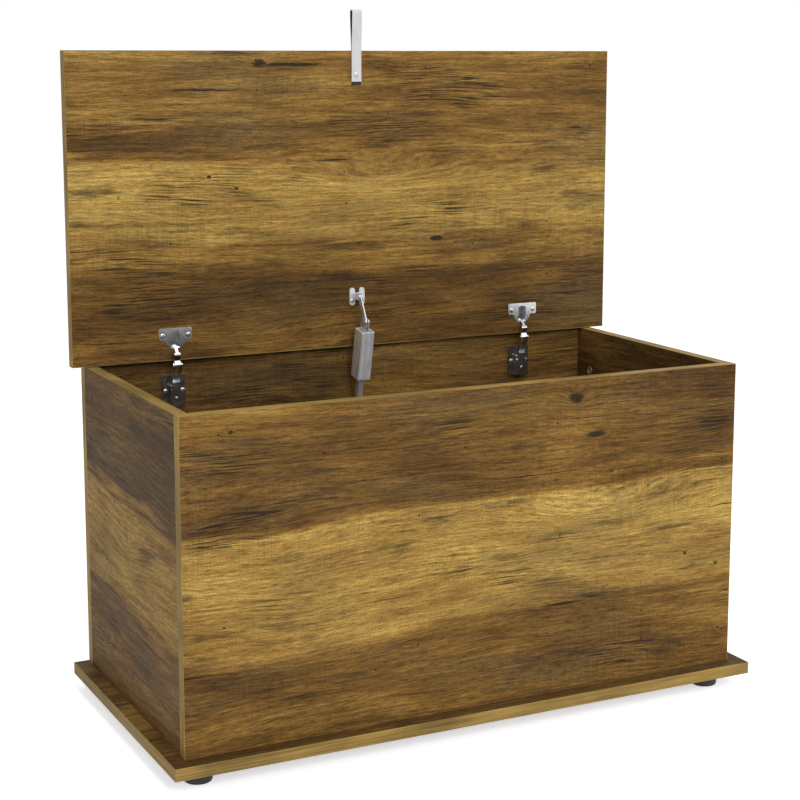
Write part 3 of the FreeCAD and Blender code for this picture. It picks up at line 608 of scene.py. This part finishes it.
def recessed(name, profile, arm, width, depth, steps=40, taper=0.55):
    """A turned mesh with a cross cut into its top; millimetres, its top at the
    first point's height."""
    bm = bmesh.new()
    turned(bm, profile, steps)
    bmesh.ops.recalc_face_normals(bm, faces=bm.faces[:])
    mesh = bpy.data.meshes.new(name)
    bm.to_mesh(mesh)
    bm.free()
    head = bpy.data.objects.new(name, mesh)
    bpy.context.scene.collection.objects.link(head)
    top = profile[0][1]
    cutters = []
    for long_x, long_y in ((arm, width / 2), (width / 2, arm)):
        bm = bmesh.new()
        made = bmesh.ops.create_cube(bm, size=2.0)["verts"]
        for vert in made:
            low = vert.co.z < 0
            vert.co = (vert.co.x * long_x * (taper if low and long_x == arm else 1.0),
                       vert.co.y * long_y * (taper if low and long_y == arm else 1.0),
                       top - depth if low else top + 1.0)
        bar = bpy.data.meshes.new(name + "_bar")
        bm.to_mesh(bar)
        bm.free()
        cutter = bpy.data.objects.new(name + "_bar", bar)
        bpy.context.scene.collection.objects.link(cutter)
        cutters.append(cutter)
        cut = head.modifiers.new("cross", "BOOLEAN")
        cut.operation = "DIFFERENCE"
        cut.solver = "EXACT"
        cut.object = cutter
    bpy.context.view_layer.update()
    whole = head.evaluated_get(bpy.context.evaluated_depsgraph_get())
    made = bpy.data.meshes.new_from_object(whole)
    for spare in cutters + [head]:
        bpy.data.objects.remove(spare)
    return made


def pan_head(name, radius, height, length, arm):
    """A domed screw on a pointed 3.4 mm shank."""
    shank, point = 1.7, 2.5
    profile = [(0.0, height), (radius * 0.50, height * 0.99), (radius * 0.74, height * 0.90),
               (radius * 0.90, height * 0.68), (radius * 0.98, height * 0.36), (radius, 0.0),
               (shank, 0.0), (shank, point - length), (0.0, -length)]
    return recessed(name, profile, arm, width=1.1, depth=1.1)


zinc = plated("zinc_screw", (0.58, 0.58, 0.58), 0.78, "Y", 0.30)
for name, mesh, body, node, places in (
        ("cup_screw_set", pan_head("cup_screw", 3.4, 1.3, 13.0, 2.1),
         "lid", "hinge_cup_screws",
         [(x0 + dx, 172.8, 493.0) for x0 in (-hinge_x, hinge_x) for dx in (-18.5, 18.5)]),
        ("plate_screw_set", pan_head("plate_screw", 3.4, 1.3, 14.0, 2.1),
         "box", "hinge_plate_screws",
         [(x0 + dx, 183.0, 414.0) for x0 in (-hinge_x, hinge_x) for dx in (-12, 12)]),
        ("lid_bracket_screw_set", pan_head("lid_bracket_screw", 2.9, 1.3, 13.0, 1.8),
         "lid", "stay_lid_screws", [(-7.6, 172.4, 524.0), (7.6, 172.4, 524.0)]),
        ("wall_bracket_screw_set", pan_head("wall_bracket_screw", 2.9, 1.3, 13.0, 1.8),
         "box", "stay_wall_screws", [(-11, 185.0, 351.3), (11, 185.0, 351.3)]),
        ("strap_pan_screw", pan_head("strap_fixing", 3.4, 1.5, 15.0, 2.1),
         "lid", "strap_screw", [(0, 171.3, 845.0)])):
    row_of(name, mesh, body, "screw_steel", zinc, node, "forward", places)

foot_fixing = recessed("foot_fixing", [
    (0.0, 2.6), (2.2, 2.6), (3.4, 2.2), (4.0, 1.4), (4.2, 0.5), (4.2, 0.0), (2.0, 0.0),
    (2.0, -15.5), (0.0, -19.0)], arm=2.6, width=1.0, depth=1.6)
row_of("foot_screw_set", foot_fixing, "box", "screw_steel", zinc, "foot_screws", "down",
       [(x0, y0, 12.0) for x0 in (-foot_x, foot_x) for y0 in (-foot_y, foot_y)])
base_fixing = recessed("base_fixing", [
    (0.0, 0.0), (4.5, 0.0), (4.8, -0.25), (2.4, -3.2), (2.4, -43.5), (0.0, -48.0)],
    arm=2.9, width=1.0, depth=1.8)
row_of("base_screw_set", base_fixing, "box", "screw_steel", zinc, "base_screws", "down",
       [(x0, y0, base_low) for x0 in (-230, 0, 230) for y0 in (-180, 195)] +
       [(x0, y0, base_low) for x0 in (-392, 392) for y0 in (-100, 100)])
cam_disc = recessed("cam_disc", [
    (0.0, -0.25), (4.6, -0.25), (4.9, 0.0), (6.5, 0.0), (6.8, -0.3), (7.5, -0.5), (7.5, -12.5),
    (0.0, -12.5)], arm=3.6, width=1.5, depth=2.2, steps=48, taper=0.75)
zinc_cast = plated("cast_zinc", (0.62, 0.62, 0.62), 0.80, "Z", 0.42)
for side, way, x0 in (("left", "right", -side_inside), ("right", "left", side_inside)):
    row_of("cam_set_" + side, cam_disc, "box", "cam_zinc", zinc_cast, "cams", way,
           [(x0, y0, z0) for y0 in (-138, 153) for z0 in (100, 394)])
dress("cam_bolts", zinc)

# ---- Dowels -----------------------------------------------------------------------------
# Round beech pegs in the joints of the box: upright ones between the base and the
# panels, and lying ones in the corners.
g = Graph("beech")
grain = g.noise(g.vector(*g.place()), 300.0, detail=4.0)
g.feed(g.shader.inputs["Base Color"],
       g.ramp(grain, (0.3, (0.36, 0.23, 0.12)), (0.7, (0.56, 0.40, 0.24))))
g.shader.inputs["Roughness"].default_value = 0.6
g.bump(grain, strength=0.2, distance=0.0003)
dress("base_dowels", g.material)
dress("corner_dowels", g.material)

# ---- Hinges ---------------------------------------------------------------------------------
# Nickel plated pressings: a cup with a flange on the lid, an arm on a plate on the
# back panel and a link between them.  Every pressed edge is rounded.


def softened(name, node, body, slot, material, rounding, segments):
    """A pressed part with its sharp edges rounded off."""
    bm = bmesh.new()
    bm.from_mesh(nodes[node].data)
    bmesh.ops.remove_doubles(bm, verts=bm.verts[:], dist=1e-6)
    bmesh.ops.dissolve_limit(bm, angle_limit=math.radians(0.6), use_dissolve_boundaries=False,
                             verts=bm.verts[:], edges=bm.edges[:])
    sharp = [edge for edge in bm.edges
             if len(edge.link_faces) == 2 and edge.calc_face_angle(0.0) > math.radians(38)]
    bmesh.ops.bevel(bm, geom=sharp, offset=rounding * MM, offset_type="OFFSET",
                    segments=segments, profile=0.5, affect="EDGES", clamp_overlap=True,
                    material=-1)
    bmesh.ops.dissolve_degenerate(bm, dist=1e-7, edges=bm.edges[:])
    piece(name, bm, body, slot, material, node, crease=26.0)


def rivet(half, shank, head, thick):
    """A pin along the upright axis with a domed head at each end."""
    side = [(0.0, half + thick), (head * 0.5, half + thick * 0.93),
            (head * 0.82, half + thick * 0.66), (head, half + thick * 0.2), (head, half),
            (shank, half)]
    other_side = [(radius, -height) for radius, height in reversed(side)]
    return turned_mesh("rivet", side + other_side, 36)


nickel = plated("nickel", (0.66, 0.67, 0.68), 0.78, "X", 0.22)
for side in ("left", "right"):
    for name, node, body, rounding, segments in (
            ("cup_", "hinge_cup_", "lid", 0.30, 2),
            ("link_", "hinge_link_", "hinge_links", 0.35, 3),
            ("arm_", "hinge_arm_", "box", 0.35, 2),
            ("mount_plate_", "hinge_plate_", "box", 0.50, 3)):
        softened(name + side, node + side, body, "hinge_nickel", nickel, rounding, segments)
link_rod = [(0.0, 6.5), (1.2, 6.5), (1.5, 6.2), (1.5, -6.2), (1.2, -6.5), (0.0, -6.5)]
arm_fixing = [(0.0, 0.0), (1.9, 0.0), (2.4, -0.45), (2.4, -13.5), (0.0, -13.5)]
for name, mesh, body, node, outward, y0, z0 in (
        ("lever_pin_pair", rivet(half=6.55, shank=1.5, head=2.5, thick=1.0),
         "hinge_pins", "hinge_lever_pins", "right", 177.86, 421.17),
        ("link_pin_pair", turned_mesh("link_rod", link_rod, 32),
         "box", "hinge_link_pins", "right", 168.0, 452.3),
        ("arm_screw_pair", recessed("arm_fixing", arm_fixing, arm=1.7, width=0.75, depth=1.3),
         "box", "hinge_arm_screws", "forward", 171.5, 404.8)):
    row_of(name, mesh, body, "hinge_nickel", nickel, node, outward,
           [(-hinge_x, y0, z0), (hinge_x, y0, z0)], crease=30.0)

# ---- Lid stay ---------------------------------------------------------------------------------
# A steel housing that slides down a rail on the back panel, with two rounded
# grooves pressed into its front, and a flat arm from its head up to the lid.
lean = math.radians(12.0)           # how far the open stay tips forward
satin = plated("satin_plate", (0.70, 0.71, 0.73), 0.80, "Z", 0.36, metallic=0.70)
# the housing's brushed steel is lighter and less metallic than the satin steel of the other stay
# parts: painted light, since its front tips down away from the lamps
brushed_painted_light = plated("brushed_plate_painted_light", (0.93, 0.94, 0.96), 0.90, "Z", 0.34, metallic=0.55,
                 fine=330.0, marks=0.26, lean=lean)
half_width, half_depth, length, wall = 10, 12, 72.0, 2.0
corner, rim = 0.8, 0.25             # how far corners and rims are rounded
groove_x, groove_step, groove_depth = 3.6, 0.25, 1.16   # six steps to each side
corner_x, corner_y = half_width - corner, half_depth - corner
outline = []
for middle_x, middle_y, start in ((corner_x, -corner_y, -90), (corner_x, corner_y, 0),
                                  (-corner_x, corner_y, 90), (-corner_x, -corner_y, 180)):
    for step in range(6):
        turn = math.radians(start + step * 18)
        outline.append((middle_x + corner * math.cos(turn), middle_y + corner * math.sin(turn)))
for middle_x in (-groove_x, groove_x):
    for step in range(-6, 7):
        deep = groove_depth / 2 * (1 + math.cos(math.pi * step / 6))
        outline.append((middle_x + step * groove_step, deep - half_depth))
bm = bmesh.new()
loops = []
for height, inset in ((-length, rim), (rim - length, 0.0), (-rim, 0.0), (0.0, rim)):
    loops.append([bm.verts.new((x0 * (half_width - inset) / half_width * MM,
                                y0 * (half_depth - inset) / half_depth * MM, height * MM))
                  for x0, y0 in outline])
bore_x, bore_y = half_width - wall, half_depth - wall
for height in (0.0, -length):
    loops.append([bm.verts.new((max(-bore_x, min(bore_x, x0)) * MM,
                                max(-bore_y, min(bore_y, y0)) * MM, height * MM))
                  for x0, y0 in outline])
for lower, upper in zip(loops, loops[1:] + loops[:1]):
    for i in range(len(outline)):
        j = (i + 1) % len(outline)
        bm.faces.new((lower[i], lower[j], upper[j], upper[i]))
bmesh.ops.remove_doubles(bm, verts=bm.verts[:], dist=1e-7)
bmesh.ops.dissolve_degenerate(bm, dist=1e-7, edges=bm.edges[:])
top_middle = Vector([part * MM for part in (0, 147, 484.5)])
upright_to_open = Matrix.Translation(top_middle) @ Matrix.Rotation(lean, 4, "X")
bmesh.ops.transform(bm, matrix=upright_to_open, verts=bm.verts[:])
piece("lid_stay_housing", bm, "stay_housing", "stay_steel", brushed_painted_light, "stay_housing", crease=30.0)

for name, node, body, rounding, segments in (
        ("lid_stay_head", "stay_head", "stay_housing", 0.22, 2),
        ("lid_stay_arm", "stay_arm", "stay_arm", 0.45, 3),
        ("lid_stay_bracket", "stay_lid_bracket", "lid", 0.40, 3),
        ("lid_stay_rail", "stay_rail", "stay_rail", 0.40, 2),
        ("lid_stay_wall_bracket", "stay_wall_bracket", "box", 0.35, 2)):
    softened(name, node, body, "stay_steel", satin, rounding, segments)
row_of("lid_stay_elbow_pin", rivet(half=3.0, shank=1.5, head=2.6, thick=0.8), "stay_housing",
       "stay_steel", satin, "stay_elbow_pin", "right", [(0, 144.505, 496.238)], crease=30.0)
row_of("lid_stay_foot_pin", rivet(half=6.2, shank=2.0, head=3.2, thick=1.0), "box",
       "stay_steel", satin, "stay_foot_pin", "right", [(0, 173.613, 359.297)], crease=30.0)
button = turned_mesh("rivet_head", [
    (0.0, 0.9), (1.2, 0.84), (2.0, 0.6), (2.4, 0.15), (2.4, 0.0), (0.0, 0.0)], 32)
bm = bmesh.new()
for way, x0 in (("right", 2.9), ("left", -2.9)):
    set_copy(bm, button, (x0, 163.0, 530.0), way)
piece("lid_stay_rivets", bm, "lid", "stay_steel", satin, "stay_lid_rivets", crease=30.0)
dress("stay_slider", black_plastic)

# ---- Pull strap -----------------------------------------------------------------------
# One stiff strip doubled into a loop and held at both ends by a screw near the lid's front edge:
# pale outside with rounded edges, and a dark lining inside, painted darker still as painted shade
# where the back layer's end shows below the front layer.
front_layer, back_layer = 171.9, 173.4                  # the middle of each layer
fold_y, fold_z, fold_radius = 172.65, 930.8, 3.6


def swept(bm, centre_line, section):
    """Carries a section of (across, outward) points along a line in the YZ plane."""
    rings = []
    for i, (y0, z0) in enumerate(centre_line):
        ahead = centre_line[min(i + 1, len(centre_line) - 1)]
        behind = centre_line[max(i - 1, 0)]
        dy, dz = ahead[0] - behind[0], ahead[1] - behind[1]
        size = math.hypot(dy, dz)
        dy, dz = dy / size, dz / size
        rings.append([bm.verts.new((across * MM, (y0 - dz * off) * MM, (z0 + dy * off) * MM))
                      for across, off in section])
    for lower, upper in zip(rings, rings[1:]):
        for i in range(len(section)):
            j = (i + 1) % len(section)
            bm.faces.new((lower[i], lower[j], upper[j], upper[i]))
    bm.faces.new(rings[0])
    bm.faces.new(rings[-1][::-1])


def curve(start, pull, push, end):
    """Points of a Bezier curve, without its first."""
    made = []
    steps = 14
    for step in range(1, steps + 1):
        t = step / steps
        made.append(tuple((1 - t) ** 3 * a + 3 * (1 - t) ** 2 * t * b
                          + 3 * (1 - t) * t * t * c + t ** 3 * d
                          for a, b, c, d in zip(start, pull, push, end)))
    return made


def strip_section(half, outer, inner, rounding):
    """The outline of one layer: how far across, and how far out from the line."""
    made = []
    for way_x, way_y, start in ((1, 1, 0), (-1, 1, 90), (-1, -1, 180), (1, -1, 270)):
        centre_x = way_x * (half - rounding)
        centre_y = (outer - rounding) if way_y > 0 else (inner + rounding)
        for step in range(4):
            turn = math.radians(start + step * 30)
            made.append((centre_x + rounding * math.cos(turn),
                         centre_y + rounding * math.sin(turn)))
    return made


# up the front layer, round the fold at the top and down the back layer
line = [(front_layer, 835.0), (front_layer, 836.0), (front_layer, 877.0)]
line += curve(line[-1], (front_layer, 896.0), (fold_y - fold_radius, 912.0),
              (fold_y - fold_radius, fold_z))
line += [(fold_y - fold_radius * math.cos(math.radians(turn)),
          fold_z + fold_radius * math.sin(math.radians(turn))) for turn in range(12, 181, 12)]
line += curve(line[-1], (fold_y + fold_radius, 912.0), (back_layer, 896.0), (back_layer, 877.5))
line += [(back_layer, 831.0), (back_layer, 830.0)]

g = Graph("strap_outside")
x, y, z = g.place()
smear = g.noise(g.vector(x, y, g.times(z, 0.4)), 160.0, detail=4.0, roughness=0.6)
g.feed(g.shader.inputs["Base Color"],
       g.ramp(smear, (0.3, (0.50, 0.497, 0.49)), (0.7, (0.56, 0.556, 0.548))))
g.feed(g.shader.inputs["Roughness"], g.ramp(smear, (0.3, 0.36), (0.7, 0.48)))
bm = bmesh.new()
swept(bm, line, strip_section(half=7.5, outer=0.6, inner=-0.25, rounding=0.30))
piece("pull_strap_outside", bm, "lid", "pull_strap", g.material, "pull_strap", crease=50.0)

# the lining's own dark grey, painted darker still: painted shade for the back layer's end under
# the front layer
g = Graph("strap_lining_painted_shade")
nap = g.noise(g.vector(*g.place()), 1400.0, detail=3.0, roughness=0.6)
g.feed(g.shader.inputs["Base Color"],
       g.ramp(nap, (0.3, (0.026, 0.025, 0.024)), (0.7, (0.048, 0.046, 0.044))))
g.shader.inputs["Roughness"].default_value = 0.8
g.shader.inputs["Specular IOR Level"].default_value = 0.15
g.bump(nap, strength=0.3, distance=0.0002)
bm = bmesh.new()
swept(bm, line, strip_section(half=7.42, outer=-0.25, inner=-0.6, rounding=0.12))
piece("pull_strap_lining", bm, "lid", "pull_strap", g.material, "pull_strap", crease=50.0)
